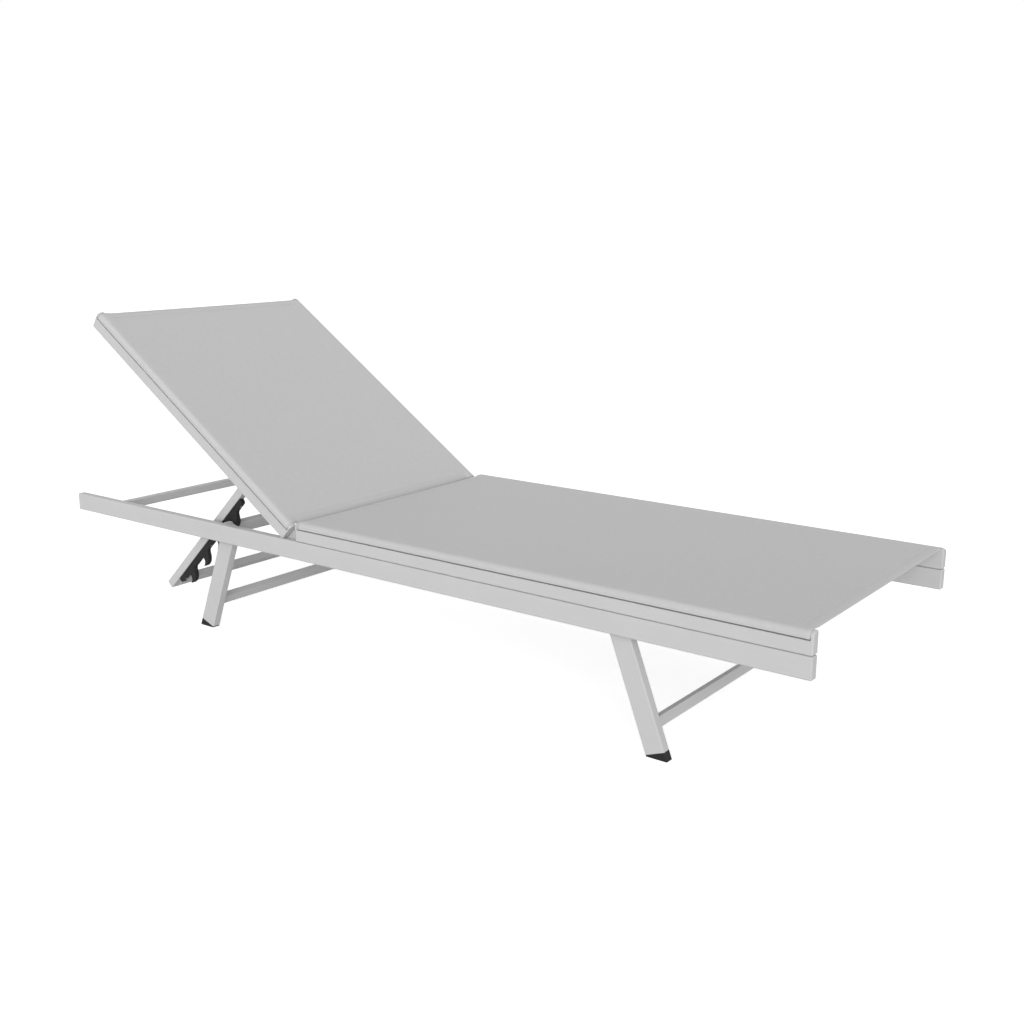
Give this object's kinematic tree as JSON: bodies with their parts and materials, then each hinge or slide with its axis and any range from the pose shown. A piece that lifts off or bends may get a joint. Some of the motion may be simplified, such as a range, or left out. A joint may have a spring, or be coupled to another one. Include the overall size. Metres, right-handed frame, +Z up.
{
  "type": "sun lounger",
  "caption": "Sun lounger of flat aluminium tube on splayed legs, with a taut sling seat and a sling backrest held up by a toothed prop that hooks over a crossbar.",
  "frame": {"origin": "on the ground under the middle of the frame", "axes": "+X towards the foot end, +Y towards the left of a person who lies on it, +Z up"},
  "size_m": [2, 0.658, 0.7344],
  "materials": {
    "coated_aluminium": "fine matt powder coat",
    "moulded_caps": "fine moulded texture",
    "black_plastic": "fine moulded texture",
    "sling_cloth": "woven coated yarn",
    "hem_cord": "extruded",
    "nylon": "natural nylon",
    "steel_fasteners": "stainless steel"
  },
  "bodies": {
    "frame": {"side_rail_right": "coated_aluminium", "side_rail_left": "coated_aluminium", "rail_foot_caps": "moulded_caps", "rail_head_caps": "moulded_caps", "seat_profile_right": "coated_aluminium", "seat_profile_left": "coated_aluminium", "seat_foot_caps": "moulded_caps", "seat_head_caps": "moulded_caps", "seat_sling": "sling_cloth", "seat_hem_cord_right": "hem_cord", "seat_hem_cord_left": "hem_cord", "seat_head_spreader": "coated_aluminium", "seat_middle_spreader": "coated_aluminium", "seat_foot_spreader": "coated_aluminium", "seat_spreader_screws": "steel_fasteners", "head_crossbar": "coated_aluminium", "rear_leg_right": "coated_aluminium", "rear_leg_left": "coated_aluminium", "rear_foot_right": "black_plastic", "rear_foot_left": "black_plastic", "front_leg_right": "coated_aluminium", "front_leg_left": "coated_aluminium", "front_foot_right": "black_plastic", "front_foot_left": "black_plastic", "rear_low_bar": "coated_aluminium", "front_low_bar": "coated_aluminium", "latch_bar": "coated_aluminium", "hinge_plate_right": "coated_aluminium", "hinge_plate_left": "coated_aluminium", "hinge_plate_bolts": "steel_fasteners", "hinge_pin_right": "steel_fasteners", "hinge_pin_left": "steel_fasteners", "hinge_washers": "nylon"},
    "backrest": {"back_profile_right": "coated_aluminium", "back_profile_left": "coated_aluminium", "back_hinge_block_right": "moulded_caps", "back_hinge_block_left": "moulded_caps", "back_top_cap_right": "moulded_caps", "back_top_cap_left": "moulded_caps", "back_sling": "sling_cloth", "back_hem_cord_right": "hem_cord", "back_hem_cord_left": "hem_cord", "back_low_spreader": "coated_aluminium", "back_top_spreader": "coated_aluminium", "back_spreader_screws": "steel_fasteners", "prop_pivot_inserts": "steel_fasteners", "prop_pivot_spacers": "steel_fasteners", "prop_pivot_bolt_right": "steel_fasteners", "prop_pivot_bolt_left": "steel_fasteners"},
    "prop": {"prop_bush_right": "nylon", "prop_bush_left": "nylon", "prop_arm_right": "coated_aluminium", "prop_arm_left": "coated_aluminium", "prop_low_bar": "coated_aluminium", "prop_rack_right": "black_plastic", "prop_rack_left": "black_plastic", "rack_screws": "steel_fasteners"}
  },
  "joints": [
    {"name": "backrest_recline", "type": "hinge", "parent": "frame", "child": "backrest", "pos_m": [-0.2436, 0, 0.2883], "axis": [0, 1, 0], "range_deg": [0, 51.5]},
    {"name": "prop_swing", "type": "hinge", "parent": "backrest", "child": "prop", "pos_m": [-0.38719, 0, 0.38515], "axis": [0, -1, 0], "range_deg": [0, 36.1]}
  ],
  "couplings": [
    {"joint": "prop_swing", "follows": "backrest_recline", "ratio": 0.7}
  ]
}
